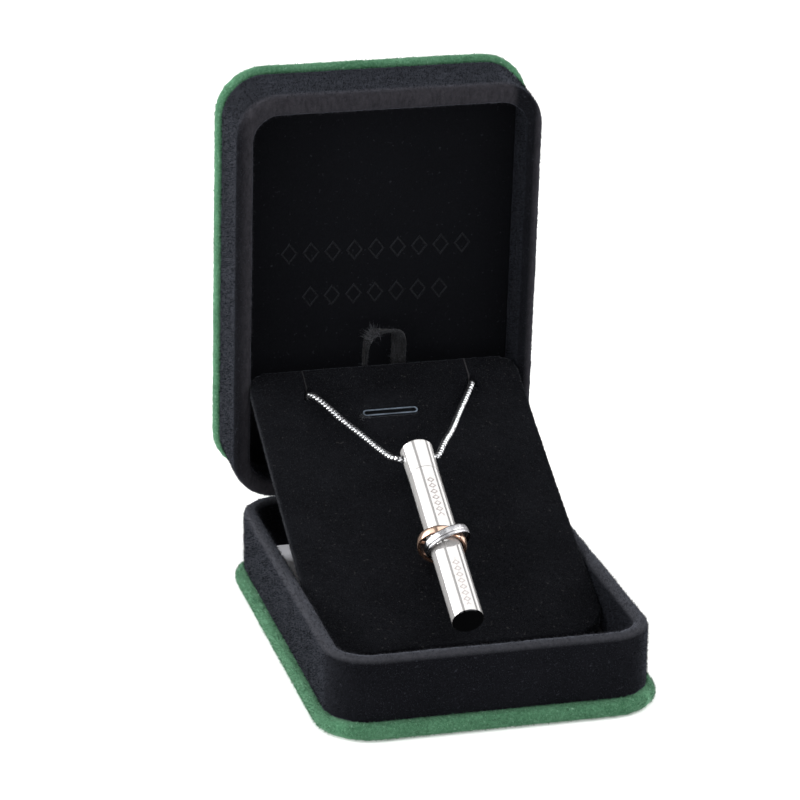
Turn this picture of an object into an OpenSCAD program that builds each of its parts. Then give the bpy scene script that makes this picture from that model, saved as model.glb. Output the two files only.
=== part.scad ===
// Keepsake urn pendant on its snake chain, lying on the propped velvet pad of an open jewellery box.
// The origin is the centre of the box's underside. X runs across the box, Y to the hinge and Z up.

/* [Box] */
// Width of the box wall, left to right
wall_w = 66.4; // [66:0.1:67]
// Length of the box wall, front to hinge
wall_l = 92; // [91.8:0.1:92.6]
// Outer radius of the wall's upright corners
corner_r = 9.5; // [9:0.1:10]
// Thickness of the covered wall, which is the width of the rim
wall_t = 3; // [2.8:0.1:3.1]
// Radius of the rim's soft edges
edge_r = 1.2; // [0.8:0.1:1.4]
// Height of the base, from the floor to the rim
base_h = 17; // [16.8:0.1:17.2]
// Thickness of the green board under the base
base_plate_t = 3.5; // [3.3:0.1:3.6]
// Overhang of that board beyond the wall
base_lip = 1.8; // [1.5:0.1:2]
// Thickness of the tray's own bottom
tray_floor_t = 1.4; // [1.2:0.1:1.5]
// Thickness of the pale liner on the tray's bottom
liner_t = 1.25; // [1.1:0.05:1.3]

/* [Lid] */
// Height of the lid's wall
lid_h = 16.2; // [16:0.1:17]
// Depth of the lid, from its rim to the lining board
recess_d = 10.5; // [10.3:0.1:11]
// Thickness of the lid's own roof
roof_t = 1.4; // [1.2:0.1:1.6]
// Thickness of the green board on the lid
lid_plate_t = 2.8; // [2.6:0.1:3]
// Overhang of that board beyond the wall
lid_lip = 1.2; // [1:0.1:1.4]
// Angle at which the lid stands open
lid_open = 85; // [84:0.5:86]
// Gap between the rims when the lid is shut
rim_gap = 0.3; // [0.3:0.1:0.5]

/* [Hinge] */
// Depth of the hinge axis below the base's rim
hinge_drop = 2; // [1.9:0.1:2.2]
// Outer radius of the knuckles
knuckle_r = 1.4; // [1.3:0.05:1.5]
// Length of the lid's knuckle
knuckle_l = 24; // [20:1:26]
// Length of the steel pin
pin_l = 44; // [40:1:46]
// Radius of the steel pin
pin_r = 0.7; // [0.6:0.05:0.8]
// Thickness of the leaf that carries the lid's knuckle
leaf_t = 0.8; // [0.6:0.1:1]

/* [Pad] */
// Half of the pad's width
pad_half_w = 29.9; // [29.5:0.1:29.9]
// Thickness of the covered card
pad_t = 2.2; // [2:0.1:2.2]
// Place of the pad's front edge
pad_front_y = -23.8; // [-24:0.1:-23.5]
// Place of the pad's rear edge
pad_rear_y = 49.2; // [49:0.1:49.4]
// Height of the pad above the box's middle
pad_mid_z = 19; // [19:0.05:19.2]
// Rise of the pad, in millimetres for each millimetre to the rear
pad_slope = 0.46; // [0.455:0.001:0.462]
// Bend of the pad, as the square term of its height
pad_bend = 0.0009; // [0.0008:0.0001:0.001]
// Radius of the pad's front corners
pad_front_r = 7.5; // [7:0.5:9]
// Radius of the pad's rear corners
pad_rear_r = 4; // [3.8:0.1:4.5]
// Width of the two slits from the rear edge to the chain's holes
slit_w = 0.5; // [0.4:0.1:0.7]
// Width of the two holes that the chain goes down through
chain_hole_w = 1.9; // [1.8:0.1:2.1]
// Length of those holes
chain_hole_l = 3.3; // [3.2:0.1:3.8]
// Place of the holes' front ends
slit_end_y = 41.3; // [41.1:0.1:41.4]
// Length of the slot near the rear edge
slot_l = 12.2; // [11:0.1:13]
// Width of that slot
slot_w = 1.8; // [1.6:0.1:2]
// Thickness of the slot's clear edging
trim_t = 0.3; // [0.25:0.05:0.4]

/* [Ribbon] */
// Width of the ribbon
ribbon_w = 3.2; // [3:0.1:3.6]
// Thickness of the ribbon's folded band
ribbon_t = 1; // [1:0.1:1.2]
// Outer width of the loop
loop_w = 9.5; // [9:0.1:10]
// Height of the loop above the pad's rear edge
loop_h = 8.2; // [7.5:0.1:8.4]

/* [Urn] */
// Diameter of the urn's tube
urn_d = 6.6; // [6.4:0.1:6.7]
// Length of the urn with its cap
urn_l = 49; // [48.5:0.5:49.5]
// Length of the cap
cap_l = 7.8; // [7.6:0.1:8]
// Diameter of the cap's top, a little wider than the tube
cap_d = 7; // [6.8:0.1:7]
// Inner diameter of the tube
bore_d = 4.3; // [4:0.1:4.4]
// Thickness of the tube's closed end
end_t = 1.4; // [1.2:0.1:2]
// Length of the cap's spigot in the tube
spigot_l = 4.5; // [4:0.1:5]
// Height of the urn's axis above the pad
urn_lift = 6.1; // [6.1:0.05:6.2]
// Angle of the urn's axis from upright
urn_pitch = 65.4; // [65.2:0.1:65.5]
// Turn of the urn's axis on the pad
urn_yaw = 0.7; // [0.5:0.1:0.8]
// Depth of the chain's cross hole below the cap's top
hole_drop = 2.5; // [2.4:0.1:2.6]
// Radius of that hole
hole_r = 1; // [1:0.05:1.1]

/* [Rings] */
// Outer radius of both rings
ring_r = 5.1; // [5.05:0.05:5.15]
// Width of their bands
ring_w = 2; // [1.8:0.1:2]
// Thickness of their bands
ring_t = 0.6; // [0.5:0.05:0.6]
// Distance of the rings' middle below the cap's top
ring_drop = 27.2; // [27:0.1:27.4]
// How far each ring is set off the urn's axis, one up and one down
ring_set = 0.61; // [0.59:0.01:0.62]
// Radius of the small tacks that hold the rings on the tube
tack_r = 0.4; // [0.35:0.05:0.45]

/* [Chain] */
// Diameter of the snake chain
chain_d = 1.4; // [1.2:0.1:1.4]
// Diameter of the plain clasp
clasp_d = 2; // [1.8:0.1:2]
// Length of the plain clasp
clasp_l = 12; // [10:1:13]

/* [Hidden] */
$fn = 64;
seam = 0.05;         // gap between boards and shells that are glued together
liner_gap = 0.15;    // gap round the boards that lie in the tray and in the lid
pin_fit = 0.06;      // radial running fit of the pin in the lid's knuckle
pin_hold = 0.02;     // radial gap of the pin in the base's knuckles
turn_fit = 0.05;     // radial running fit of the cap's spigot in the tube
plate_round = 0.43;  // rounding of the green boards' edges as a share of their thickness
knuckle_gap = 0.3;
eps = 0.2;           // overlap that joins the solids of one piece
chamfer = 0.2;

hinge_y = wall_l / 2;
hinge_z = base_h - hinge_drop;
lid_rim_z = base_h + rim_gap;
lid_top_z = lid_rim_z + lid_h;
panel_z = lid_rim_z + recess_d;
inner_w = wall_w - 2 * wall_t;
inner_l = wall_l - 2 * wall_t;
inner_r = corner_r - wall_t;
cut = 60;            // length that cuts right through

slit_x = [-17.7, 18.5];
slot_x = -1;
slot_y = 37;
loop_x = 1.25;
loop_gap = 0.15;
ring_around_r = ring_r - ring_t;
rose_tacks = [20, 180];
silver_tacks = [20, 170];

// The pad is a sheet bent about X: its height at a place y, and the point at a height h off its face
function pad_z(y) = pad_mid_z + pad_slope * y + pad_bend * y * y;
function pad_rise(y) = pad_slope + 2 * pad_bend * y;
function pad_point(y, h) = [y, pad_z(y)] + h * [-pad_rise(y), 1] / norm([pad_rise(y), 1]);

// Route of the chain from clasp to clasp: x, y on the pad, and height above the pad's face
route = [
  [-5, 14, -3.3], [-5, 24, -3.1], [-5, 30, -3.1],
  [-6.5, 33.5, -3.1], [-10, 35, -3.1], [-13.5, 33.5, -3.1], [-15, 30, -3.1],
  [-15, 20, -3.1], [-15, 8, -3.1], [-15, -4, -3.1],
  [-16.4, -7.4, -3.1], [-20, -9, -3.1], [-23.6, -7.4, -3.1], [-25, -4, -3.1],
  [-25, 8, -3.1], [-25, 20, -3.1], [-25, 30, -3.1],
  [-24.4, 35, -3.1], [-22.6, 39, -3.2], [-20, 41.6, -3.3], [-17.85, 42.4, -2.9],
  [-17.7, 42.6, -1.2], [-17.6, 42.3, 0.4], [-16.8, 41.2, 1.2], [-15, 38.6, 1.45], [-12.4, 33.9, 2.05],
  [-10, 29.5, 3.1], [-7.8, 25.2, 4.1], [-5.8, 21.3, 5.2], [-4.6, 19.9, 5.9], [-3.4, 19.26, 6.14],
  [0, 19.14, 6.18], [3.4, 19.26, 6.14],
  [4.7, 20.2, 6], [5.7, 21.9, 5.65], [7.4, 24.5, 5], [9.8, 27.9, 3.95], [13, 33.4, 2.4], [16.2, 38.4, 1.4],
  [17.8, 41, 1.2], [18.4, 42.3, 0.4], [18.6, 42.6, -1.2],
  [18.65, 42.4, -2.9], [20.6, 41.6, -3.3], [22.9, 39, -3.2], [24.5, 35, -3.1],
  [25, 30, -3.1], [25, 20, -3.1], [25, 8, -3.1], [25, -4, -3.1],
  [23.6, -7.4, -3.1], [20, -9, -3.1], [16.4, -7.4, -3.1], [15, -4, -3.1],
  [15, 8, -3.1], [15, 20, -3.1], [15, 30, -3.1],
  [13.5, 33.5, -3.1], [10, 35, -3.1], [6.5, 33.5, -3.1], [5, 30, -3.1],
  [5, 20, -3.1], [5, 8, -3.1], [5, -4, -3.1],
  [3.5, -7.5, -3.1], [0, -9, -3.1], [-3.5, -7.5, -3.1], [-5, -5, -3.2], [-5, 1.9, -3.3]
];
function on_pad_point(q) = let (p = pad_point(q[1], q[2])) [q[0], p[0], p[1]];
chain_path = [for (q = route) on_pad_point(q)];
chain_sides = 8;

// Frames along a path: the direction at each point, and a side vector carried along without twist
function unit(v) = v / norm(v);
function way(p, i) = unit(p[min(i + 1, len(p) - 1)] - p[max(i - 1, 0)]);
function carried(p, i, side) =
  i == len(p) ? [] : let (t = way(p, i), s = unit(side - (side * t) * t)) concat([s], carried(p, i + 1, s));

// Outline of a rectangle with round corners
module round_rect(w, l, r) {
  square([w - 2 * r, l], center = true);
  square([w, l - 2 * r], center = true);
  for (x = [-1, 1], y = [-1, 1]) translate([x * (w / 2 - r), y * (l / 2 - r)]) circle(r);
}

// Carries a profile round that outline: its x is 0 on the outline and negative inside, its y is the height
module along_edge(w, l, r) {
  for (i = [0:3]) {
    out = (i % 2 == 0 ? w : l) / 2;
    side = (i % 2 == 0 ? l : w) / 2;
    rotate(90 * i) {
      translate([out, 0, 0]) rotate([90, 0, 0]) linear_extrude(2 * (side - r), center = true) children();
      translate([out - r, side - r, 0]) rotate_extrude(angle = 90) translate([r, 0]) children();
    }
  }
}

// Section of a wall from height z0 to z1, with both edges of one end rounded
module wall_profile(z0, z1, top_round) {
  r = edge_r;
  difference() {
    translate([-wall_t, z0]) square([wall_t, z1 - z0]);
    z_end = top_round ? z1 : z0;
    z_mid = top_round ? z1 - r : z0 + r;
    for (x = [-wall_t, -r]) {
      difference() {
        translate([x, min(z_end, z_mid)]) square([r, r]);
        translate([x == -r ? -r : r - wall_t, z_mid]) circle(r);
      }
    }
  }
}

// A covered board with a full round edge, its underside at z0
module board(w, l, r, z0, t) {
  e = plate_round * t;
  translate([0, 0, z0]) {
    linear_extrude(t) round_rect(w - 2 * e, l - 2 * e, r - e);
    along_edge(w, l, r) {
      translate([-e, e]) circle(e);
      translate([-e, t - e]) circle(e);
      translate([-e - eps, 0]) square([e / 2, t]);
      translate([-e, e]) square([e, t - 2 * e]);
    }
  }
}

// A round rod along X on the hinge axis
module hinge_rod(r, l, x = 0) {
  translate([x, hinge_y, hinge_z]) rotate([0, 90, 0]) cylinder(r = r, h = l, center = true);
}

// The lid is drawn shut and swung open about the hinge
module opened() {
  translate([0, hinge_y, hinge_z]) rotate([-lid_open, 0, 0]) translate([0, -hinge_y, -hinge_z]) children();
}

// Places a child on the pad's face at y, its Z square to the pad
module on_pad(x, y) {
  translate([x, y, pad_z(y)]) rotate([atan(pad_rise(y)), 0, 0]) children();
}

// The urn's own frame: its Z runs up the axis and ends at the cap's top, and its Y points into the pad
module on_urn() {
  foot_y = 21.4;
  top = pad_point(foot_y, urn_lift);
  translate([0.02, top[0], top[1]]) rotate([-urn_pitch, 0, 0]) rotate([0, urn_yaw, 0]) children();
}

module base_plate() {
  color("mediumseagreen")
    board(wall_w + 2 * base_lip, wall_l + 2 * base_lip, corner_r + base_lip, 0, base_plate_t - seam);
}

module base_shell() {
  color("#2b2d33") difference() {
    union() {
      along_edge(wall_w, wall_l, corner_r) wall_profile(base_plate_t, base_h, true);
      translate([0, 0, base_plate_t])
        linear_extrude(tray_floor_t) round_rect(wall_w - wall_t, wall_l - wall_t, corner_r - wall_t / 2);
      for (s = [-1, 1])
        hinge_rod(knuckle_r, (pin_l - knuckle_l) / 2 - knuckle_gap, s * ((pin_l + knuckle_l) / 4 + knuckle_gap / 2));
    }
    hinge_rod(knuckle_r + knuckle_gap, knuckle_l + 2 * knuckle_gap);
    hinge_rod(pin_r + pin_hold, pin_l + 2);
  }
}

module base_floor() {
  color("gainsboro") translate([0, 0, base_plate_t + tray_floor_t + seam])
    linear_extrude(liner_t)
      round_rect(inner_w - 2 * liner_gap, inner_l - 2 * liner_gap, inner_r - liner_gap);
}

module hinge_pin() {
  color("silver") hinge_rod(pin_r, pin_l);
}

module lid_shell() {
  leaf_gap = 0.15;
  leaf_join_z = lid_rim_z + edge_r + 1;
  leaf_top_z = lid_rim_z + 6;
  color("#2b2d33") opened() difference() {
    union() {
      along_edge(wall_w, wall_l, corner_r) wall_profile(lid_rim_z, lid_top_z, false);
      translate([0, 0, lid_top_z - roof_t])
        linear_extrude(roof_t) round_rect(wall_w - wall_t, wall_l - wall_t, corner_r - wall_t / 2);
      hinge_rod(knuckle_r, knuckle_l);
      translate([-knuckle_l / 2, hinge_y + leaf_gap, hinge_z])
        cube([knuckle_l, leaf_t, leaf_top_z - hinge_z]);
      translate([-knuckle_l / 2, hinge_y - leaf_t, leaf_join_z])
        cube([knuckle_l, leaf_t + leaf_gap + eps, leaf_top_z - leaf_join_z]);
    }
    hinge_rod(pin_r + pin_fit, knuckle_l + 2);
  }
}

module lid_panel() {
  color("#202227") opened() translate([0, 0, panel_z])
    linear_extrude(lid_top_z - roof_t - seam - panel_z)
      round_rect(inner_w - 2 * liner_gap, inner_l - 2 * liner_gap, inner_r - liner_gap);
}

module lid_plate() {
  color("mediumseagreen") opened()
    board(wall_w + 2 * lid_lip, wall_l + 2 * lid_lip, corner_r + lid_lip, lid_top_z + seam, lid_plate_t - seam);
}

// The pad seen from above
module pad_outline() {
  fr = pad_front_r;
  rr = pad_rear_r;
  translate([-pad_half_w, pad_front_y + fr]) square([2 * pad_half_w, pad_rear_y - pad_front_y - fr - rr]);
  translate([fr - pad_half_w, pad_front_y]) square([2 * (pad_half_w - fr), fr + eps]);
  translate([rr - pad_half_w, pad_rear_y - rr - eps]) square([2 * (pad_half_w - rr), rr + eps]);
  for (s = [-1, 1]) {
    translate([s * (pad_half_w - fr), pad_front_y + fr]) circle(fr);
    translate([s * (pad_half_w - rr), pad_rear_y - rr]) circle(rr);
  }
}

// A slot with round ends
module slot_outline(l, w) {
  square([l - w, w], center = true);
  for (s = [-1, 1]) translate([s * (l - w) / 2, 0]) circle(w / 2);
}

module pad_card() {
  steps = 12;
  over = 2;
  rows = [for (i = [0:steps]) pad_front_y + (pad_rear_y + over - pad_front_y) * i / steps];
  face = [for (y = rows) pad_point(y, 0)];
  back = [for (i = [steps:-1:0]) pad_point(rows[i], -pad_t)];
  color("#17181c") difference() {
    intersection() {
      rotate([90, 0, 90]) linear_extrude(2 * pad_half_w + 2, center = true) polygon(concat(face, back));
      linear_extrude(cut) pad_outline();
    }
    for (x = slit_x) {
      translate([x - slit_w / 2, slit_end_y, 0]) cube([slit_w, cut, cut]);
      translate([x - chain_hole_w / 2, slit_end_y, 0]) cube([chain_hole_w, chain_hole_l, cut]);
    }
    on_pad(slot_x, slot_y) linear_extrude(3 * pad_t, center = true) slot_outline(slot_l, slot_w);
  }
}

module slot_trim() {
  rise = 0.1;
  color("lightsteelblue") on_pad(slot_x, slot_y) translate([0, 0, rise - pad_t])
    linear_extrude(pad_t) difference() {
      slot_outline(slot_l - 2 * seam, slot_w - 2 * seam);
      slot_outline(slot_l - 2 * seam - 2 * trim_t, slot_w - 2 * seam - 2 * trim_t);
    }
}

module ribbon_loop() {
  bend_r = 2.2;
  foot = 2.6;
  height = loop_h + foot;
  color("#1c1d22") translate([loop_x, pad_rear_y + loop_gap + ribbon_w, pad_z(pad_rear_y) - foot])
    rotate([90, 0, 0]) linear_extrude(ribbon_w) difference() {
      arch(loop_w, height, bend_r);
      translate([0, -eps]) arch(loop_w - 2 * ribbon_t, height - ribbon_t + eps, bend_r - ribbon_t);
    }
}

// Upright outline with two round upper corners
module arch(w, h, r) {
  translate([-w / 2, 0]) square([w, h - r]);
  translate([r - w / 2, 0]) square([w - 2 * r, h]);
  for (s = [-1, 1]) translate([s * (w / 2 - r), h - r]) circle(r);
}

module urn_cap() {
  top_r = cap_d / 2;
  foot_r = urn_d / 2;
  spigot_r = bore_d / 2 - turn_fit;
  color("gainsboro") on_urn() difference() {
    rotate_extrude() polygon([
      [0, 0], [top_r - chamfer, 0], [top_r, -chamfer], [foot_r, -cap_l],
      [spigot_r, -cap_l], [spigot_r, -cap_l - spigot_l], [0, -cap_l - spigot_l]
    ]);
    translate([0, 0, -hole_drop]) rotate([0, 90, 0]) cylinder(r = hole_r, h = 2 * cap_d, center = true);
  }
}

module urn_tube() {
  r = urn_d / 2;
  top = -cap_l - seam;
  color("gainsboro") on_urn() difference() {
    rotate_extrude() polygon([
      [bore_d / 2, top], [r, top], [r, chamfer - urn_l], [r - chamfer, -urn_l],
      [0, -urn_l], [0, end_t - urn_l], [bore_d / 2, end_t - urn_l]
    ]);
    rose_place() tacks(tack_r + seam, rose_tacks);
    silver_place() tacks(tack_r + seam, silver_tacks);
  }
}

// Where the two rings sit on the urn, each tilted its own way so that they link
module rose_place() {
  translate([-0.4, ring_set, 0.18 - ring_drop]) rotate([0, 14, 0]) rotate([3.1, 0, 0]) children();
}

module silver_place() {
  translate([0.4, -ring_set, -ring_drop - 0.13]) rotate([0, -17.4, 0]) rotate([15.4, 0, 0]) children();
}

// Two small tacks from a ring's inner wall into the tube, on its right and its left
module tacks(r, angles) {
  reach = urn_d / 2 - 0.5;
  for (a = angles)
    rotate(a) translate([reach, 0, 0]) rotate([0, 90, 0])
      cylinder(r = r, h = ring_around_r + ring_t / 2 - reach, $fn = 32);
}

module band(tack_angles) {
  e = 0.15;
  rotate_extrude($fn = 128) polygon([
    [ring_around_r, e - ring_w / 2], [ring_around_r + e, -ring_w / 2], [ring_r - e, -ring_w / 2],
    [ring_r, e - ring_w / 2], [ring_r, ring_w / 2 - e], [ring_r - e, ring_w / 2],
    [ring_around_r + e, ring_w / 2], [ring_around_r, ring_w / 2 - e]
  ]);
  tacks(tack_r, tack_angles);
}

module ring_rose() {
  color("#d9a58a") on_urn() rose_place() band(rose_tacks);
}

module ring_silver() {
  color("silver") on_urn() silver_place() band(silver_tacks);
}

module chain() {
  p = chain_path;
  n = chain_sides;
  side = carried(p, 0, [1, 0, 0]);
  rims = [
    for (i = [0:len(p) - 1], k = [0:n - 1])
      p[i] + chain_d / 2 * (cos(360 * k / n) * side[i] + sin(360 * k / n) * cross(way(p, i), side[i]))
  ];
  walls = [
    for (i = [0:len(p) - 2], k = [0:n - 1])
      let (a = i * n + k, b = i * n + (k + 1) % n) [a, a + n, b + n, b]
  ];
  ends = [[for (k = [0:n - 1]) k], [for (k = [n - 1:-1:0]) (len(p) - 1) * n + k]];
  color("whitesmoke") polyhedron(points = rims, faces = concat(walls, ends));
}

module chain_clasp() {
  tail = chain_path[len(chain_path) - 1];
  head = chain_path[0];
  middle = (head + tail) / 2;
  lean = head - tail;
  color("silver") translate(middle) rotate([-atan2(lean[1], lean[2]), 0, 0])
    cylinder(d = clasp_d, h = clasp_l, center = true);
}

base_plate();
base_shell();
base_floor();
hinge_pin();
lid_shell();
lid_panel();
lid_plate();
pad_card();
slot_trim();
ribbon_loop();
urn_cap();
chain();
chain_clasp();
urn_tube();
ring_rose();
ring_silver();
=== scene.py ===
"""Keepsake urn pendant on a snake chain, lying on the propped velvet pad of an open jewellery box."""

import logging
import math
from dataclasses import dataclass, field
from enum import Enum
from typing import Callable, Iterable, Sequence, Union

import bpy
import numpy as np
from mathutils import Matrix, Vector, noise


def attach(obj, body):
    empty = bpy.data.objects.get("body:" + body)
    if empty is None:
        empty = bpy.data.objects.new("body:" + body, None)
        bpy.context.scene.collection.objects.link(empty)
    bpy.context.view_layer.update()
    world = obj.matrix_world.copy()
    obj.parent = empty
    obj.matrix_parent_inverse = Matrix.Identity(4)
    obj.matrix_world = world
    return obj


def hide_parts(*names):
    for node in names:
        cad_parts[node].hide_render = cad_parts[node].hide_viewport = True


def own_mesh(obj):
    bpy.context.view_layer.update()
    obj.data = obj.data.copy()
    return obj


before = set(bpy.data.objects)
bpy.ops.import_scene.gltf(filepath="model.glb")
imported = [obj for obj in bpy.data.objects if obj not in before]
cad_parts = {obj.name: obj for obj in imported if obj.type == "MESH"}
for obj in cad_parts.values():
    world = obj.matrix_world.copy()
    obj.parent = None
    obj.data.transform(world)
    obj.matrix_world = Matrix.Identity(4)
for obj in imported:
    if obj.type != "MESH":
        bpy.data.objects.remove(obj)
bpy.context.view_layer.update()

VALLEY = "valley"
LOG = logging.getLogger("keepsake_box")
MM = 0.001
EVEN = (1.0, 1.0, 1.0)
CLOTH = {"Roughness": 0.95, "Specular IOR Level": 0.04}

Colour = tuple[float, float, float]
Point = tuple[float, float, float]
Span = tuple[float, float]
Face = tuple[int, ...]
Mask = Callable[[np.ndarray, np.ndarray], np.ndarray]
Number = Union["Reading", float]


def mm(*values: float) -> Vector:
    """Gives a point in metres from its three millimetre values."""
    return Vector(values) * MM


def rgba(colour: Colour) -> tuple[float, float, float, float]:
    """Gives a colour with full alpha."""
    return (*colour, 1.0)


def turned(axis: str, angle: float) -> Matrix:
    """Gives a turn about an axis, in degrees."""
    return Matrix.Rotation(math.radians(angle), 4, axis)


def moved(points: np.ndarray, place: Matrix) -> np.ndarray:
    """Moves rows of points by a matrix."""
    turn = np.array(place)
    return points @ turn[:3, :3].T + turn[:3, 3]


class Reading:
    """One number that varies over a surface: a node socket with the usual operators."""

    def __init__(self, bench: "Bench", socket: bpy.types.NodeSocket) -> None:
        """Keeps the socket and the bench that adds its maths nodes."""
        self.bench = bench
        self.socket = socket

    def math(self, operation: str, *operands: Number) -> "Reading":
        """Adds one Math node with its operands in order."""
        return self.bench.value("ShaderNodeMath", {"operation": operation}, dict(enumerate(operands)))

    def __add__(self, other: Number) -> "Reading":
        """Adds."""
        return self.math("ADD", self, other)

    __radd__ = __add__

    def __mul__(self, other: Number) -> "Reading":
        """Multiplies."""
        return self.math("MULTIPLY", self, other)

    __rmul__ = __mul__

    def __sub__(self, other: Number) -> "Reading":
        """Subtracts."""
        return self.math("SUBTRACT", self, other)

    def __rsub__(self, other: float) -> "Reading":
        """Subtracts this from a number."""
        return self.math("SUBTRACT", other, self)

    def __truediv__(self, other: Number) -> "Reading":
        """Divides."""
        return self.math("DIVIDE", self, other)

    def __pow__(self, other: Number) -> "Reading":
        """Raises to a power."""
        return self.math("POWER", self, other)

    def __abs__(self) -> "Reading":
        """Gives the size without the sign."""
        return self.math("ABSOLUTE", self)

    def least(self, other: Number) -> "Reading":
        """Gives the smaller of the two."""
        return self.math("MINIMUM", self, other)

    def most(self, other: Number) -> "Reading":
        """Gives the larger of the two."""
        return self.math("MAXIMUM", self, other)

    def angle(self, other: Number) -> "Reading":
        """Gives the angle whose tangent is this over the other."""
        return self.math("ARCTAN2", self, other)

    def wrapped(self, half: float) -> "Reading":
        """Repeats the number from minus a half pitch to plus a half pitch."""
        return self.math("WRAP", self, half, -half)

    def clipped(self) -> "Reading":
        """Keeps the number between 0 and 1."""
        return self.most(0.0).least(1.0)

    def step(self, start: float, end: float) -> "Reading":
        """Rises from 0 at start to 1 at end, or falls where end is below start."""
        return ((self - start) / (end - start)).clipped()


Operand = Union[Reading, float, Sequence[float], bpy.types.NodeSocket]
Inputs = dict[Union[str, int], Operand]


class Bench:
    """Puts nodes into one node tree."""

    def __init__(self, tree: bpy.types.NodeTree) -> None:
        """Empties the tree."""
        self.tree = tree
        tree.nodes.clear()

    def node(
        self, kind: str, settings: dict[str, object] | None = None, inputs: Inputs | None = None,
    ) -> bpy.types.Node:
        """Adds one node.

        Args:
            kind: the node's type.
            settings: its properties, which are set first.
            inputs: numbers, colours or links of its sockets.

        Returns:
            The new node.
        """
        made = self.tree.nodes.new(kind)
        for name, setting in (settings or {}).items():
            setattr(made, name, setting)
        for name, given in (inputs or {}).items():
            source = given.socket if isinstance(given, Reading) else given
            if isinstance(source, bpy.types.NodeSocket):
                self.tree.links.new(source, made.inputs[name])
            else:
                made.inputs[name].default_value = source
        return made

    def value(
        self, kind: str, settings: dict[str, object] | None, inputs: Inputs, output: Union[str, int] = 0,
    ) -> Reading:
        """Adds a node and gives one of its outputs, by name or number, as a reading."""
        return Reading(self, self.node(kind, settings, inputs).outputs[output])

    def place(self) -> bpy.types.NodeSocket:
        """Gives the point on the object, in metres."""
        return self.node("ShaderNodeTexCoord").outputs["Object"]

    def local(self, seat: Matrix) -> bpy.types.NodeSocket:
        """Gives the point in the frame of a seat."""
        turn = seat.to_euler("XYZ")
        inputs = {"Vector": self.place(), "Location": seat.to_translation(), "Rotation": turn}
        return self.node("ShaderNodeMapping", {"vector_type": "TEXTURE"}, inputs).outputs[0]

    def split(self, vector: bpy.types.NodeSocket) -> tuple[Reading, Reading, Reading]:
        """Gives the three numbers of a vector."""
        parts = self.node("ShaderNodeSeparateXYZ", None, {0: vector})
        return tuple(Reading(self, socket) for socket in parts.outputs)

    def grain(
        self, vector: bpy.types.NodeSocket, size: float, detail: float = 2.0,
        roughness: float = 0.55, stretch: Point = EVEN,
    ) -> Reading:
        """Adds noise whose features have about a given size.

        Args:
            vector: where the noise is read.
            size: size of its features in metres.
            detail: number of finer layers.
            roughness: strength of the finer layers.
            stretch: scale along each axis.

        Returns:
            The noise from 0 to 1.
        """
        if stretch != EVEN:
            vector = self.node("ShaderNodeMapping", None, {"Vector": vector, "Scale": stretch}).outputs[0]
        inputs = {"Vector": vector, "Scale": 1.0 / size, "Detail": detail, "Roughness": roughness}
        return self.value("ShaderNodeTexNoise", None, inputs, "Fac")

    def blend(self, share: Reading, low: Operand, high: Operand) -> bpy.types.NodeSocket:
        """Mixes two colours, from low where the share is 0 to high where it is 1.

        Args:
            share: share of the second colour.
            low: the first colour.
            high: the second colour.

        Returns:
            The colour socket.
        """
        first, second = (rgba(colour) if isinstance(colour, tuple) else colour for colour in (low, high))
        settings = {"data_type": "RGBA", "clamp_factor": True}
        return self.node("ShaderNodeMix", settings, {0: share, 6: first, 7: second}).outputs[2]

    def bump(self, height: Reading, depth: float, strength: float) -> bpy.types.NodeSocket:
        """Gives a normal from a height of 0 to 1, for a relief of a depth in metres."""
        inputs = {"Height": height, "Distance": depth, "Strength": strength}
        return self.node("ShaderNodeBump", None, inputs).outputs[0]

    def surface(self, inputs: Inputs) -> None:
        """Ends the tree with a Principled shader."""
        shader = self.node("ShaderNodeBsdfPrincipled", None, inputs)
        self.node("ShaderNodeOutputMaterial", None, {0: shader.outputs[0]})


def new_material(name: str, inputs: Callable[[Bench], Inputs]) -> bpy.types.Material:
    """Makes a material.

    Args:
        name: its name.
        inputs: adds its nodes on a bench and gives the inputs of its Principled shader.

    Returns:
        The material.
    """
    material = bpy.data.materials.new(name)
    material.use_nodes = True
    bench = Bench(material.node_tree)
    bench.surface(inputs(bench))
    return material


@dataclass(frozen=True)
class Surface:
    """A finish that is the same on every piece that has it."""

    name: str

    def inputs(self, bench: Bench) -> Inputs:
        """Adds the finish's nodes.

        Args:
            bench: where the nodes go.

        Returns:
            The inputs of its shader.
        """
        raise NotImplementedError

    def material(self) -> bpy.types.Material:
        """Builds the material."""
        return new_material(self.name, self.inputs)


@dataclass(frozen=True)
class Accent:
    """A paler place on a velvet, with streaks across it: on a wall's rim it is painted sheen, on the pad's
    slits their pale cut edges.
    """

    name: str
    colour: Colour
    streak: Point = EVEN
    contrast: float = 0.45

    def share(self, bench: Bench) -> Reading:
        """Gives 1 at the place and 0 elsewhere."""
        raise NotImplementedError


@dataclass(frozen=True, kw_only=True)
class PaintedSheenRim(Accent):
    """A velvet wall's rim, paler with painted sheen: near the rim's plane, and towards the opening."""

    seat: Matrix
    start: float
    end: float
    half_width: float = 0.0332
    outer: float = 0.0008
    inner: float = 0.0018
    # Towards the right, a thin band of painted sheen takes the place of the wide one.
    right_thin: float = 0.0
    right_from: Span = (0.0262, 0.0276)
    thin_band: Span = (0.0020, 0.0009)

    def share(self, bench: Bench) -> Reading:
        """Gives 1 on the rim's painted sheen and 0 elsewhere."""
        x, _, z = bench.split(bench.local(self.seat))
        inset = self.half_width - abs(x)
        band = inset.step(self.outer, self.inner)
        right = x.step(*self.right_from) * self.right_thin
        thin = inset.step(*self.thin_band)
        return z.step(self.start, self.end) * (band * (1 - right) + thin * right)


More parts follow.
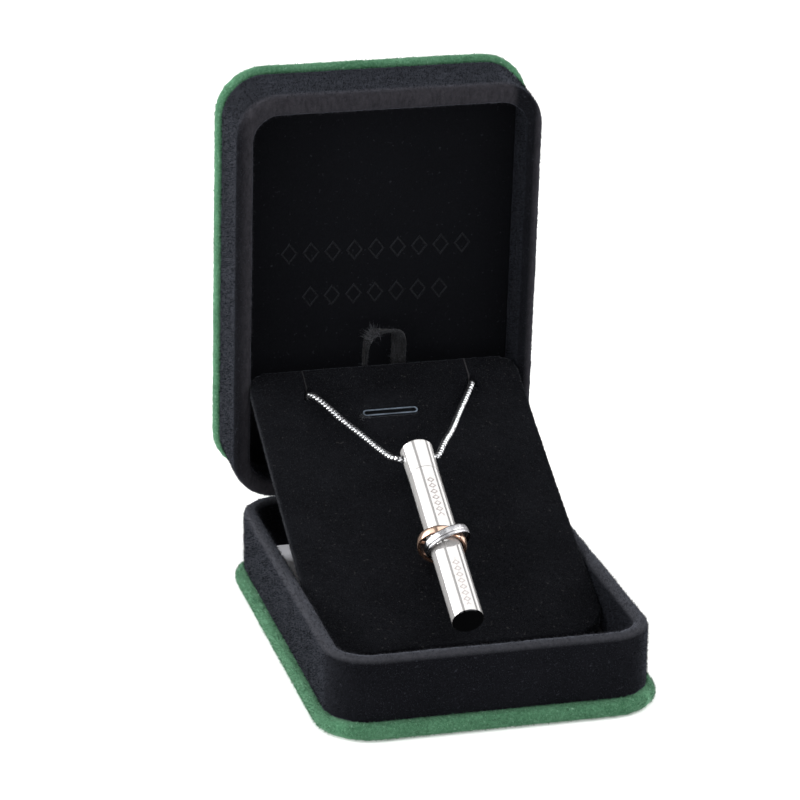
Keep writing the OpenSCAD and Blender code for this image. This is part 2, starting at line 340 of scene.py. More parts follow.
@dataclass(frozen=True)
class Slits(Accent):
    """The pale cut edges of the pad's two slits."""

    name: str = "slits"
    colour: Colour = (0.046, 0.044, 0.046)
    contrast: float = 0.6
    places: Span = (-0.0177, 0.0185)
    start: float = 0.0440
    fade: float = 0.0004
    half: float = 0.00013
    left_share: float = 0.5

    def share(self, bench: Bench) -> Reading:
        """Gives 1 on the slits' edges and 0 elsewhere."""
        x, y, _ = bench.split(bench.place())
        left, right = (abs(x - place).step(self.half * 1.5, self.half * 0.7) for place in self.places)
        return (left * self.left_share).most(right) * y.step(self.start - self.fade, self.start)


@dataclass(frozen=True)
class Velvet:
    """Short pile cloth: dark where it faces the eye, paler along its edges through its sheen, with fine
    flecks; a rim's accent adds painted sheen.
    """

    name: str
    deep: Colour
    pale: Colour
    fleck: Colour
    sheen_tint: Colour
    sheen: float = 1.0
    sheen_roughness: float = 0.35
    pile: float = 0.0004
    patch: float = 0.012
    relief: float = 0.00012
    streak_size: float = 0.0006
    specks: Span = (0.69, 0.78)

    def inputs(self, bench: Bench, accent: Accent | None) -> Inputs:
        """Adds the velvet's nodes.

        Args:
            bench: where the nodes go.
            accent: the paler place, which on a rim is painted sheen.

        Returns:
            The inputs of its shader.
        """
        at = bench.place()
        pile = bench.grain(at, self.pile, 2.0, 0.7)
        lean = bench.grain(at, self.pile * 5, 2.0)
        patch = bench.grain(at, self.patch, 3.0)
        dust = bench.grain(at, self.pile * 1.7, 1.0)
        nap = (pile.step(0.42, 0.66) * 0.6 + patch.step(0.35, 0.7) * 0.3 + lean * 0.2).clipped()
        cloth = bench.blend(nap, self.deep, self.pale)
        # On a rim, the accent's paler colour is painted sheen.
        if accent is not None:
            streak = bench.grain(at, self.streak_size, 2.0, 0.6, accent.streak).step(0.25, 0.75)
            share = accent.share(bench) * (streak * accent.contrast + (1 - accent.contrast))
            cloth = bench.blend(share, cloth, accent.colour)
        return CLOTH | {
            "Base Color": bench.blend(dust.step(*self.specks) * 0.7, cloth, self.fleck),
            "Sheen Weight": self.sheen,
            "Sheen Roughness": self.sheen_roughness,
            "Sheen Tint": rgba(self.sheen_tint),
            "Normal": bench.bump(pile * 0.7 + lean * 0.3, self.relief, 0.8),
        }

    def material(self, accent: Accent | None = None) -> bpy.types.Material:
        """Builds the velvet, with the paler place that a piece may have, which on a rim is painted sheen."""
        name = self.name if accent is None else f"{self.name}_{accent.name}"
        return new_material(name, lambda bench: self.inputs(bench, accent))

    def fibre(self, title: str, colour: Colour) -> bpy.types.Material:
        """Builds one paler shade of the single pile fibres, which are too thin for a pattern."""
        return new_material(f"{self.name}_fibre_{title}", lambda _: {
            "Base Color": rgba(colour), "Roughness": 0.9, "Specular IOR Level": 0.08,
            "Sheen Weight": self.sheen, "Sheen Roughness": 0.5, "Sheen Tint": rgba(self.sheen_tint),
        })


@dataclass(frozen=True, kw_only=True)
class LidLining(Surface):
    """Flat lining cloth of the lid, with two rows of small plain lozenges pressed in."""

    name: str = "lid_lining"
    seat: Matrix
    deep: Colour = (0.0018, 0.0020, 0.0026)
    pale: Colour = (0.0044, 0.0048, 0.0062)
    dust: Colour = (0.018, 0.019, 0.023)
    pressed: Colour = (0.0125, 0.0130, 0.0148)
    sheen_tint: Colour = (0.75, 0.8, 1.0)
    rows: tuple[Span, Span] = ((0.0432, 0.0534), (0.0336, 0.0432))
    lozenge_w: float = 0.0019
    lozenge_h: float = 0.0025
    pitch: float = 0.0048
    line: float = 0.00035

    def lozenges(self, across: Reading, up: Reading, width: float, height: float) -> Reading:
        """Draws one row of pressed lozenge outlines.

        Args:
            across: place across the lid.
            up: place up the lid.
            width: length of the row.
            height: the row's place up the lid.

        Returns:
            1 on the outlines and 0 elsewhere.
        """
        reach = abs(across.wrapped(self.pitch / 2)) / self.lozenge_w + abs(up - height) / self.lozenge_h
        edge = abs(reach - 0.85) * self.lozenge_w
        return edge.step(self.line, self.line * 0.4) * abs(across).step(width / 2, width / 2 - 0.0001)

    def inputs(self, bench: Bench) -> Inputs:
        """Adds the lining's nodes and gives the inputs of its shader."""
        at = bench.place()
        across, _, up = bench.split(bench.local(self.seat))
        pile = bench.grain(at, 0.00035, 2.0, 0.7)
        patch = bench.grain(at, 0.015, 3.0)
        dust = bench.grain(at, 0.0007, 1.0).step(0.70, 0.78)
        first, second = (self.lozenges(across, up, *row) for row in self.rows)
        marks = first.most(second)
        cloth = bench.blend(pile * 0.6 + patch * 0.4, self.deep, self.pale)
        dusty = bench.blend(dust * 0.6, cloth, self.dust)
        return CLOTH | {
            "Base Color": bench.blend(marks * pile.step(0.30, 0.6), dusty, self.pressed),
            "Sheen Weight": 0.1,
            "Sheen Roughness": 0.4,
            "Sheen Tint": rgba(self.sheen_tint),
            "Normal": bench.bump(pile * 0.4 - marks, 0.00025, 0.7),
        }


@dataclass(frozen=True)
class PolishedMetal(Surface):
    """Polished metal with faint brushing and small scratches."""

    colour: Colour
    shade: Colour
    metallic: float = 0.55
    roughness: float = 0.1

    def parts(self, bench: Bench, along: Point = EVEN) -> tuple[Reading, Reading]:
        """Gives the brushing, stretched along an axis, and the handling marks, both from 0 to 1."""
        at = bench.place()
        return bench.grain(at, 0.0003, 3.0, 0.6, along), bench.grain(at, 0.004, 3.0).step(0.45, 0.75)

    def inputs(self, bench: Bench) -> Inputs:
        """Adds the metal's nodes and gives the inputs of its shader."""
        brush, marks = self.parts(bench, (1.0, 0.15, 0.3))
        return {
            "Base Color": bench.blend(brush * 0.35 + marks * 0.25, self.colour, self.shade),
            "Metallic": self.metallic,
            "Roughness": marks * 0.08 + self.roughness,
            "Normal": bench.bump(brush, 0.000004, 0.5),
        }


@dataclass(frozen=True, kw_only=True)
class UrnSteel(PolishedMetal):
    """The urn's polished steel, with a fine engraved row of lozenges on the side that faces up."""

    seat: Matrix
    engraved: Colour = (0.30, 0.24, 0.23)
    dark: Colour = (0.050, 0.052, 0.055)
    radius: float = 0.0033
    row_angle: float = 0.03
    row_half_width: float = 0.00085
    spans: tuple[Span, Span] = ((-0.0224, -0.0110), (-0.0475, -0.0344))
    span_fade: float = 0.0002
    pitch: float = 0.0017
    stroke: float = 0.00016
    foot: float = -0.0488
    foot_fade: float = 0.00004
    seam: float = -0.00783
    seam_half: float = 0.00011

    def inputs(self, bench: Bench) -> Inputs:
        """Adds the steel's nodes with its engraving and gives the inputs of its shader."""
        brush, marks = self.parts(bench, (1.0, 0.2, 0.3))
        x, y, z = bench.split(bench.local(self.seat))
        across = (x.angle(0 - y) - self.row_angle) * self.radius
        cell = z.wrapped(self.pitch / 2)
        reach = abs(cell) / (self.pitch * 0.42) + abs(across) / self.row_half_width
        stroke = abs(reach - 0.8).step(self.stroke / self.row_half_width * 1.4, 0.05)
        fade = self.span_fade
        first, second = (z.step(low, low + fade) * z.step(high, high - fade) for low, high in self.spans)
        cut = stroke * first.most(second)
        plain = bench.blend(brush * 0.3 + marks * 0.2, self.colour, self.shade)
        marked = bench.blend(cut * 0.85, plain, self.engraved)
        seam = abs(z - self.seam).step(self.seam_half, self.seam_half * 0.5) * 0.4
        end = z.step(self.foot, self.foot - self.foot_fade)
        return {
            "Base Color": bench.blend(seam.most(end), marked, self.dark),
            "Metallic": end * (1 - self.metallic) + self.metallic,
            "Roughness": marks * 0.03 + cut * 0.3 + self.roughness,
            "Normal": bench.bump(brush * 0.06 - cut, 0.00004, 0.4),
        }


@dataclass(frozen=True)
class RingMetal(PolishedMetal):
    """A ring's metal: painted reflection darkens its edges and painted shade its inner wall and the silver's
    groove, and it is milled with fine slanting strokes if it is the silver.
    """

    # Colour of the painted reflection on the edges and of the painted shade on the inner wall and in the
    # groove.
    edge: Colour = (0.05, 0.045, 0.045)
    painted_low_edge: float = 1.0
    milled: float = 0.0
    painted_edge_from: float = 0.00076
    painted_edge_to: float = 0.00090
    painted_shade_wall: float = 0.0047
    radius: float = 0.0059
    stroke_half: float = 0.00016
    groove_z: float = -0.00036
    groove_fade: Span = (0.00017, 0.00007)

    def inputs(self, bench: Bench) -> Inputs:
        """Adds the ring's nodes and gives the inputs of its shader."""
        brush, marks = self.parts(bench)
        x, y, z = bench.split(bench.place())
        slant = y.angle(x) * self.radius + z * 0.7
        cell = abs(slant.wrapped(self.stroke_half)) / self.stroke_half
        cloud = bench.grain(bench.place(), 0.0016, 2.0).step(0.48, 0.66) * self.milled
        mill = cell.step(0.2, 0.9) * (0.5 * self.milled) + cloud * 0.6
        face = bench.blend(mill + brush * 0.2, self.colour, self.shade)
        # Painted reflection darkens the upper and lower edges, painted shade the inner wall and the silver's
        # groove.
        low = z.step(-self.painted_edge_from, -self.painted_edge_to) * self.painted_low_edge
        inside = ((x * x + y * y) ** 0.5).step(self.painted_shade_wall + 0.0002, self.painted_shade_wall)
        groove = abs(z - self.groove_z).step(*self.groove_fade) * (self.milled * 0.8)
        painted_rim = z.step(self.painted_edge_from, self.painted_edge_to).most(low).most(inside).most(groove)
        return {
            "Base Color": bench.blend(painted_rim * 0.9, face, self.edge),
            "Metallic": self.metallic,
            "Roughness": cloud * 0.2 + marks * 0.08 + self.roughness,
            "Normal": bench.bump(cell * self.milled, 0.00003, 0.5),
        }


@dataclass(frozen=True)
class WovenSteel(PolishedMetal):
    """The snake chain's steel, with painted shade between its scales and in scattered dark spots."""

    def inputs(self, bench: Bench) -> Inputs:
        """Adds the chain's nodes and gives the inputs of its shader."""
        brush, marks = self.parts(bench)
        valley = bench.value("ShaderNodeAttribute", {"attribute_name": VALLEY}, {}, "Fac")
        # Painted shade between the scales and in scattered dark spots.
        spots = bench.grain(bench.place(), 0.0005, 1.0).step(0.54, 0.64)
        painted_gap_shade = (valley.step(0.15, 0.6) * 0.95).most(spots * 0.7)
        return {
            "Base Color": bench.blend(painted_gap_shade + brush * 0.1, self.colour, self.shade),
            "Metallic": self.metallic,
            "Roughness": marks * 0.1 + self.roughness,
            "Normal": bench.bump(brush, 0.00002, 0.4),
        }


@dataclass(frozen=True)
class LinerCard(Surface):
    """Pale paper covered card with fibres and soft stains, with painted shade in black at its front and a
    painted glow beside the pad.
    """

    name: str = "liner_card"
    pale: Colour = (0.95, 0.95, 0.96)
    stained: Colour = (0.86, 0.87, 0.89)
    # Painted shade: the card turns black towards the front, under the pad.
    black: Colour = (0.006, 0.006, 0.008)
    # Painted glow beside the pad: the card gives off light though it is no lamp.
    light: Colour = (0.92, 0.93, 1.0)
    painted_glow_strength: float = 0.34
    painted_shade_from: Span = (-0.004, -0.006)
    painted_glow_x: Span = (-0.0190, -0.0212)
    painted_glow_y: Span = (0.0330, 0.0375)

    def inputs(self, bench: Bench) -> Inputs:
        """Adds the card's nodes and gives the inputs of its shader."""
        at = bench.place()
        fibre = bench.grain(at, 0.0006, 4.0, 0.7, (1.0, 0.3, 1.0))
        stain = bench.grain(at, 0.01, 3.0)
        x, y, _ = bench.split(at)
        paper = bench.blend(fibre * 0.5 + stain * 0.4, self.pale, self.stained)
        # Painted glow on the card beside the pad.
        painted_glow = x.step(*self.painted_glow_x) * y.step(*self.painted_glow_y) * (1 - fibre * 0.3)
        return {
            # Painted shade: the front of the card is black.
            "Base Color": bench.blend(y.step(*self.painted_shade_from), paper, self.black),
            # Painted glow: emission beside the pad.
            "Emission Color": bench.blend(painted_glow, (0.0, 0.0, 0.0), self.light),
            "Emission Strength": self.painted_glow_strength,
            "Roughness": fibre * 0.2 + 0.7,
            "Normal": bench.bump(fibre, 0.00008, 0.5),
        }


@dataclass(frozen=True)
class RibbonCloth(Surface):
    """Black satin ribbon with fine ribs across it, worn towards its top."""

    name: str = "ribbon_cloth"
    black: Colour = (0.0022, 0.0024, 0.0030)
    worn: Colour = (0.022, 0.023, 0.026)
    worn_from: Span = (0.0488, 0.0498)
    rib_half: float = 0.0002

    def inputs(self, bench: Bench) -> Inputs:
        """Adds the ribbon's nodes and gives the inputs of its shader."""
        at = bench.place()
        _, _, up = bench.split(at)
        rib = abs(up.wrapped(self.rib_half)) / self.rib_half
        wear = bench.grain(at, 0.0012, 3.0, 0.7, (2.0, 2.0, 0.5)).step(0.42, 0.75)
        top = up.step(*self.worn_from) * 0.5
        return {
            "Base Color": bench.blend(wear * 0.8 + rib * 0.15 + top, self.black, self.worn),
            "Roughness": wear * 0.2 + 0.6,
            "Specular IOR Level": 0.12,
            "Sheen Weight": 0.12,
            "Sheen Roughness": 0.4,
            "Normal": bench.bump(rib * 0.4 + wear, 0.00008, 0.7),
        }


@dataclass(frozen=True)
class ClearPlastic(Surface):
    """Thin clear edging with a cool tint: a painted highlight along its top edge, painted shade down in the
    slot.
    """

    name: str = "clear_edging"
    # Painted shade down in the slot, and the tint of the painted highlight along the top edge.
    dark: Colour = (0.004, 0.005, 0.007)
    tint: Colour = (0.13, 0.16, 0.20)
    face: Point = (0.019, 0.46, 0.9)
    painted_highlight: Span = (-0.00012, 0.00004)

    def inputs(self, bench: Bench) -> Inputs:
        """Adds the plastic's nodes and gives the inputs of its shader."""
        cloud = bench.grain(bench.place(), 0.0015, 2.0)
        _, y, z = bench.split(bench.place())
        # Painted highlight above the top edge's curve, painted shade below it.
        rise = z - (y * y * self.face[2] + y * self.face[1] + self.face[0])
        painted_highlight = rise.step(*self.painted_highlight) * (cloud.step(0.30, 0.62) * 0.6 + 0.4)
        return {
            "Base Color": bench.blend(painted_highlight, self.dark, self.tint),
            "Roughness": cloud * 0.2 + 0.35,
            "Specular IOR Level": 0.25,
            "Coat Weight": painted_highlight * 0.15,
            "Normal": bench.bump(cloud, 0.0001, 0.5),
        }


class Shape:
    """Builds and dresses pieces."""

    @staticmethod
    def link(name: str, data: bpy.types.ID) -> bpy.types.Object:
        """Makes an object of a mesh, camera or light, and links it to the scene."""
        made = bpy.data.objects.new(name, data)
        bpy.context.scene.collection.objects.link(made)
        return made

    @staticmethod
    def corners(mesh: bpy.types.Mesh) -> np.ndarray:
        """Gives a mesh's points, one in each row."""
        places = np.empty(len(mesh.vertices) * 3)
        mesh.vertices.foreach_get("co", places)
        return places.reshape(-1, 3)

    @staticmethod
    def from_arrays(name: str, points: np.ndarray, faces: Iterable[Sequence[int]]) -> bpy.types.Object:
        """Makes a smooth mesh object.

        Args:
            name: the piece's name.
            points: its corners.
            faces: corner numbers of each face.

        Returns:
            The linked object.
        """
        mesh = bpy.data.meshes.new(name)
        mesh.from_pydata(np.asarray(points, float).tolist(), [], [list(map(int, f)) for f in faces])
        mesh.update()
        mesh.shade_smooth()
        return Shape.link(name, mesh)

    @staticmethod
    def triangles(name: str, points: np.ndarray) -> bpy.types.Object:
        """Makes a mesh of loose triangles.

        Args:
            name: the piece's name.
            points: three corners for each triangle.

        Returns:
            The linked object.
        """
        count = len(points)
        mesh = bpy.data.meshes.new(name)
        mesh.vertices.add(count)
        mesh.vertices.foreach_set("co", points.ravel())
        mesh.loops.add(count)
        mesh.loops.foreach_set("vertex_index", np.arange(count, dtype=np.int32))
        mesh.polygons.add(count // 3)
        mesh.polygons.foreach_set("loop_start", np.arange(0, count, 3, dtype=np.int32))
        mesh.update(calc_edges=True)
        return Shape.link(name, mesh)

    @staticmethod
    def tube_faces(rows: int, columns: int, ring: bool = False) -> list[Face]:
        """Gives the faces of a tube, whose rows of points are closed loops.

        Args:
            rows: number of rows.
            columns: points in a row.
            ring: joins the last row to the first, where otherwise both ends are capped.

        Returns:
            The faces.
        """
        around = [(j, (j + 1) % columns) for j in range(columns)]
        faces: list[Face] = []
        for i in range(rows if ring else rows - 1):
            a, b = i * columns, ((i + 1) % rows) * columns
            faces += [(a + j, a + k, b + k, b + j) for j, k in around]
        if not ring:
            last = (rows - 1) * columns
            faces += [tuple(range(columns - 1, -1, -1)), tuple(range(last, last + columns))]
        return faces

    @staticmethod
    def skin(node: str, name: str, voxel: float, seat: Matrix) -> bpy.types.Object:
        """Makes an evenly meshed copy of a CAD solid, for cloth.

        Args:
            node: the solid.
            name: the new piece's name.
            voxel: size of its mesh in metres.
            seat: frame in which the solid lies square.

        Returns:
            The new piece.
        """
        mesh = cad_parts[node].data.copy()
        mesh.transform(seat.inverted())
        made = Shape.link(name, mesh)
        modifier = made.modifiers.new("even", "REMESH")
        modifier.mode = "VOXEL"
        modifier.voxel_size = voxel
        modifier.use_smooth_shade = True
        graph = bpy.context.evaluated_depsgraph_get()
        even = bpy.data.meshes.new_from_object(made.evaluated_get(graph))
        made.modifiers.clear()
        even.transform(seat)
        even.name = name
        even.materials.clear()
        made.data = even
        return made

    @staticmethod
    def dress(piece: bpy.types.Object, material: bpy.types.Material, slot: str) -> None:
        """Gives a new piece its material."""
        piece.data.materials.clear()
        piece.data.materials.append(material)

    @staticmethod
    def dress_node(node: str, material: bpy.types.Material) -> None:
        """Gives a CAD node its material."""
        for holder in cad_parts[node].material_slots:
            holder.link = "OBJECT"
            holder.material = material

    @staticmethod
    def join(name: str, pieces: Sequence[bpy.types.Object]) -> bpy.types.Object:
        """Makes one mesh of several.

        Args:
            name: the joined piece's name.
            pieces: the meshes, which are removed.

        Returns:
            The joined piece.
        """
        points: list[np.ndarray] = []
        faces: list[list[int]] = []
        finishes: list[bpy.types.Material] = []
        shades: list[int] = []
        for piece in pieces:
            mesh = piece.data
            start = len(points)
            points += [np.array(piece.matrix_basis @ v.co) for v in mesh.vertices]
            faces += [[start + i for i in f.vertices] for f in mesh.polygons]
            shades += [len(finishes) + f.material_index for f in mesh.polygons]
            finishes += list(mesh.materials)
            bpy.data.objects.remove(piece)
        made = Shape.from_arrays(name, np.array(points), faces)
        for finish in finishes:
            made.data.materials.append(finish)
        if finishes:
            made.data.polygons.foreach_set("material_index", np.array(shades, dtype=np.int32))
        return made


@dataclass(frozen=True)
class Relief:
    """Heights and feature sizes of a velvet's fine relief and of its broad one, in metres."""

    fine: float = 0.00010
    fine_size: float = 0.0009
    soft: float = 0.00006
    soft_size: float = 0.012

    def ruffle(self, piece: bpy.types.Object) -> None:
        """Moves a piece's points in and out, as pile does."""
        mesh = piece.data
        places = Shape.corners(mesh)
        normals = np.empty(places.size)
        mesh.vertex_normals.foreach_get("vector", normals)
        near = np.array([noise.noise(p) for p in (places / self.fine_size).tolist()])
        far = np.array([noise.noise(p) for p in (places / self.soft_size).tolist()])
        places = places + normals.reshape(-1, 3) * (near * self.fine + far * self.soft)[:, None]
        mesh.vertices.foreach_set("co", places.ravel())
        mesh.update()


@dataclass
class Pile:
    """Single fibres that stand on a velvet piece and soften its edges."""

    name: str
    count: int
    seed: int
    length: float = 0.00050
    width: float = 0.00009
    splay: float = 0.75
    shares: Span = (0.72, 0.975)
    keep: Mask | None = None
    rooted: float = 0.1

    def build(self, piece: bpy.types.Object, finish: Velvet) -> bpy.types.Object:
        """Grows the fibres on a piece.

        Args:
            piece: the velvet piece.
            finish: its velvet.

        Returns:
            The fibres as one mesh.
        """
        mesh = piece.data
        mesh.calc_loop_triangles()
        thirds = np.empty(len(mesh.loop_triangles) * 3, int)
        mesh.loop_triangles.foreach_get("vertices", thirds)
        corners = Shape.corners(mesh)
        a, b, c = (corners[thirds.reshape(-1, 3)[:, k]] for k in range(3))
        face = np.cross(b - a, c - a)
        area = np.linalg.norm(face, axis=1)
        face = face / np.maximum(area, 1e-15)[:, None]
        if self.keep is not None:
            area = area * self.keep((a + b + c) / 3, face)
        chance = np.random.default_rng(self.seed)
        pick = chance.choice(len(area), self.count, p=area / area.sum())
        u, v = chance.random(self.count), chance.random(self.count)
        over = u + v > 1
        u[over], v[over] = 1 - u[over], 1 - v[over]
        root = a[pick] + u[:, None] * (b - a)[pick] + v[:, None] * (c - a)[pick]
        way = face[pick] + chance.normal(size=(self.count, 3)) * self.splay
        way /= np.linalg.norm(way, axis=1)[:, None]
        flat = np.cross(way, chance.normal(size=(self.count, 3)))
        flat *= self.width / 2 / np.linalg.norm(flat, axis=1)[:, None]
        reach = self.length * (0.5 + chance.random(self.count))[:, None]
        foot = root - face[pick] * self.length * self.rooted
        points = np.stack([foot - flat, foot + flat, root + way * reach], 1)
        shade = np.searchsorted(self.shares, chance.random(self.count))
        fibres = Shape.triangles(self.name, points.reshape(-1, 3))
        paler = [finish.fibre("pale", finish.pale), finish.fibre("fleck", finish.fleck)]
        for material in [piece.data.materials[0]] + paler:
            fibres.data.materials.append(material)
        fibres.data.polygons.foreach_set("material_index", shade.astype(np.int32))
        fibres.data.update()
        return fibres


@dataclass(frozen=True)
class Hinge:
    """Place of the lid's hinge in millimetres, and the lid's opening in the photograph in degrees."""

    y: float = 46.0
    z: float = 15.0
    opening: float = 85.0

    def swung(self) -> Matrix:
        """Gives the turn of the open lid about its hinge."""
        place = Matrix.Translation(mm(0, self.y, self.z))
        return place @ turned("X", -self.opening) @ place.inverted()


class Finish(Enum):
    """The velvets of the box."""

    GREEN = Velvet(
        "green_velvet", (0.034, 0.110, 0.056), (0.098, 0.230, 0.135), (0.24, 0.42, 0.30),
        (0.62, 0.95, 0.72), 0.5, 0.4, 0.0005, 0.01, 0.00015,
    )
    WALL = Velvet(
        "wall_velvet", (0.0020, 0.0022, 0.0030), (0.0070, 0.0074, 0.0096), (0.024, 0.025, 0.031),
        (0.70, 0.78, 1.0), 0.14, 0.35,
    )
    PAD = Velvet(
        "pad_velvet", (0.0010, 0.0012, 0.0018), (0.0082, 0.0088, 0.0110), (0.042, 0.040, 0.040),
        (0.82, 0.87, 1.0), 0.11, 0.35, 0.00035,
    )


@dataclass(frozen=True)
class HalfNames:
    """The body of one half of the box, and what its wall, board and fibres are called."""

    body: str
    wall_node: str
    board_node: str
    wall: str
    board: str
    wall_pile: str
    board_pile: str
    seed: int


@dataclass(kw_only=True)
class BoxHalf:
    """One half of the box: a black velvet wall, a green velvet board, and the fibres on both."""

    names: HalfNames
    seat: Matrix = field(default_factory=lambda: Matrix.Identity(4))
    shell_mesh: float = 0.00060
    board_mesh: float = 0.00080
    relief: Relief = Relief()
    wall_fibres: int = 90000
    board_fibres: int = 40000
    flat: float = 0.9

    def painted_rim(self) -> PaintedSheenRim:
        """Gives the wall's rim, paler with painted sheen."""
        raise NotImplementedError

    def shown(self, middle: np.ndarray, face: np.ndarray) -> np.ndarray:
        """Tells where the wall's fibres grow.

        Args:
            middle: middle of each face.
            face: the way that each face looks.

        Returns:
            The share of fibres on each face.
        """
        raise NotImplementedError

    def board_shown(self, middle: np.ndarray, face: np.ndarray) -> np.ndarray:
        """Tells where the board's fibres grow."""
        raise NotImplementedError

    def roll(self, wall: bpy.types.Object) -> None:
        """Leaves the wall as it is; a half whose rim is thicker than its solid pads it."""

    def build(self) -> list[bpy.types.Object]:
        """Builds and dresses the wall, the board and their fibres, and gives them."""
        names, black, green = self.names, Finish.WALL.value, Finish.GREEN.value
        wall = Shape.skin(names.wall_node, names.wall, self.shell_mesh, self.seat)
        self.relief.ruffle(wall)
        self.roll(wall)
        Shape.dress(wall, black.material(self.painted_rim()), "black_velvet")
        board = Shape.skin(names.board_node, names.board, self.board_mesh, self.seat)
        self.relief.ruffle(board)
        Shape.dress(board, green.material(), "green_velvet")
        nap = Pile(names.wall_pile, self.wall_fibres, names.seed, keep=self.shown).build(wall, black)
        board_pile = Pile(names.board_pile, self.board_fibres, names.seed + 1, keep=self.board_shown)
        edge = board_pile.build(board, green)
        for piece, node in ((wall, names.wall_node), (board, names.board_node), (nap, ""), (edge, "")):
            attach(piece, names.body)
            if node:
                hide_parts(node)
        return [wall, board, nap, edge]


@dataclass(kw_only=True)
class BoxBase(BoxHalf):
    """The tray with its board, its pale liner and the hinge pin."""

    names: HalfNames = HalfNames(
        "root", "base_shell", "base_plate", "tray_velvet", "base_board_velvet",
        "tray_pile", "base_board_pile", 11,
    )
    rim_z: float = 0.016
    board_edge: Span = (0.0322, 0.0450)
    board_foot: float = 0.0004

    def painted_rim(self) -> PaintedSheenRim:
        """Gives the tray's rim, paler with painted sheen."""
        # Colour of the painted sheen on the tray's rim.
        colour = (0.044, 0.045, 0.052)
        return PaintedSheenRim("tray_rim_painted_sheen", colour, seat=self.seat, start=0.0157, end=0.0166, outer=-0.001, inner=0.0)

    def shown(self, middle: np.ndarray, face: np.ndarray) -> np.ndarray:
        """Tells where the tray's fibres grow: not on its floor or underside."""
        return (np.abs(face[:, 2]) < self.flat) | (middle[:, 2] > self.rim_z)

    def board_shown(self, middle: np.ndarray, face: np.ndarray) -> np.ndarray:
        """Tells where the board's fibres grow: along its edge."""
        return (np.abs(middle[:, :2]) > self.board_edge).any(axis=1) & (middle[:, 2] > self.board_foot)

    def build(self) -> list[bpy.types.Object]:
        """Builds and dresses the base, and gives its new pieces."""
        made = super().build()
        Shape.dress_node("base_floor", LinerCard().material())
        pin = PolishedMetal("pin_steel", (0.62, 0.62, 0.63), (0.35, 0.35, 0.36), 1.0, 0.25)
        Shape.dress_node("hinge_pin", pin.material())
        return made


@dataclass(kw_only=True)
class BoxLid(BoxHalf):
    """The open lid: its velvet wall, its board and its lining."""

    names: HalfNames = HalfNames(
        "lid", "lid_shell", "lid_plate", "lid_wall_velvet", "lid_board_velvet",
        "lid_wall_pile", "lid_board_pile", 13,
    )
    seat: Matrix = field(default_factory=Hinge().swung)
    rim_z: float = 17.3
    rim_deep: float = 1.0
    panel_z: float = 0.0273
    panel_half: Span = (0.0310, 0.0440)
    board_edge: Span = (0.0315, 0.0445)
    board_face: float = 0.12
    outline: Point = (66.4, 92.0, 9.5)
    roll_left: float = 0.8
    roll_right: float = 0.1
    roll_front: float = 1.2
    roll_depth: float = 6.0
    roll_from: Span = (1.0, 2.4)
    wall_thick: float = 4.0
    lining_foot: Point = (0, 54, 15)
    lining_lean: float = 5.0

    def painted_rim(self) -> PaintedSheenRim:
        """Gives the lid's rim, paler with painted sheen, with a thin band of it at its right."""
        # The first colour is that of the painted sheen on the lid's rim.
        return PaintedSheenRim(
            "lid_rim_painted_sheen", (0.031, 0.0295, 0.0345), (1.0, 1.0, 0.35), 0.55, seat=self.seat,
            start=0.0205, end=0.0188, outer=0.0004, inner=0.0030, right_thin=1.0,
        )

    def laid(self, middle: np.ndarray, face: np.ndarray) -> tuple[np.ndarray, np.ndarray]:
        """Gives faces' middles and ways as they are when the lid is shut."""
        shut = self.seat.inverted()
        return moved(middle, shut), moved(face, shut.to_3x3().to_4x4())

    def shown(self, middle: np.ndarray, face: np.ndarray) -> np.ndarray:
        """Tells where the wall's fibres grow: not on its roof or behind the lining."""
        place, way = self.laid(middle, face)
        inside = (np.abs(place[:, :2]) < self.panel_half).all(axis=1)
        hidden = inside & (place[:, 2] > self.panel_z)
        near_rim = place[:, 2] < (self.rim_z + self.rim_deep) * MM
        return ~hidden & ((np.abs(way[:, 2]) < self.flat) | near_rim)

    def board_shown(self, middle: np.ndarray, face: np.ndarray) -> np.ndarray:
        """Tells where the board's fibres grow: all round, and thinner on its outer face."""
        place, way = self.laid(middle, face)
        edge = (np.abs(place[:, :2]) > self.board_edge).any(axis=1)
        return edge * 1.0 + (way[:, 2] > self.flat) * self.board_face

    def roll(self, wall: bpy.types.Object) -> None:
        """Pads the rim out towards the opening, where the velvet is folded over."""
        place = moved(Shape.corners(wall.data), self.seat.inverted()) / MM
        reach = np.abs(place[:, :2]) - (np.array(self.outline[:2]) / 2 - self.outline[2])
        corner = np.maximum(reach, 0)
        far = np.linalg.norm(corner, axis=1)
        inset = self.outline[2] - far - np.minimum(reach.max(axis=1), 0)
        side = reach[:, 0] > reach[:, 1]
        outward = corner / np.maximum(far, 1e-6)[:, None]
        way = np.where(far[:, None] > 1e-6, outward, np.stack([side, ~side], 1))
        sideways = np.where(place[:, 0] < 0, self.roll_left, self.roll_right)
        amount = sideways + (self.roll_front - sideways) * way[:, 1] * (place[:, 1] < 0)
        fade = np.clip((self.rim_z + self.roll_depth - place[:, 2]) / self.roll_depth, 0, 1)
        start, full = self.roll_from
        share = np.clip((inset - start) / (full - start), 0, 1) * np.sqrt(fade) * (inset < self.wall_thick)
        place[:, :2] -= way * np.sign(place[:, :2]) * (amount * share)[:, None]
        wall.data.vertices.foreach_set("co", moved(place * MM, self.seat).ravel())
        wall.data.update()

    def build(self) -> list[bpy.types.Object]:
        """Builds and dresses the lid, and gives its new pieces."""
        made = super().build()
        upright = Matrix.Translation(mm(*self.lining_foot)) @ turned("X", self.lining_lean)
        Shape.dress_node("lid_panel", LidLining(seat=upright).material())
        return made


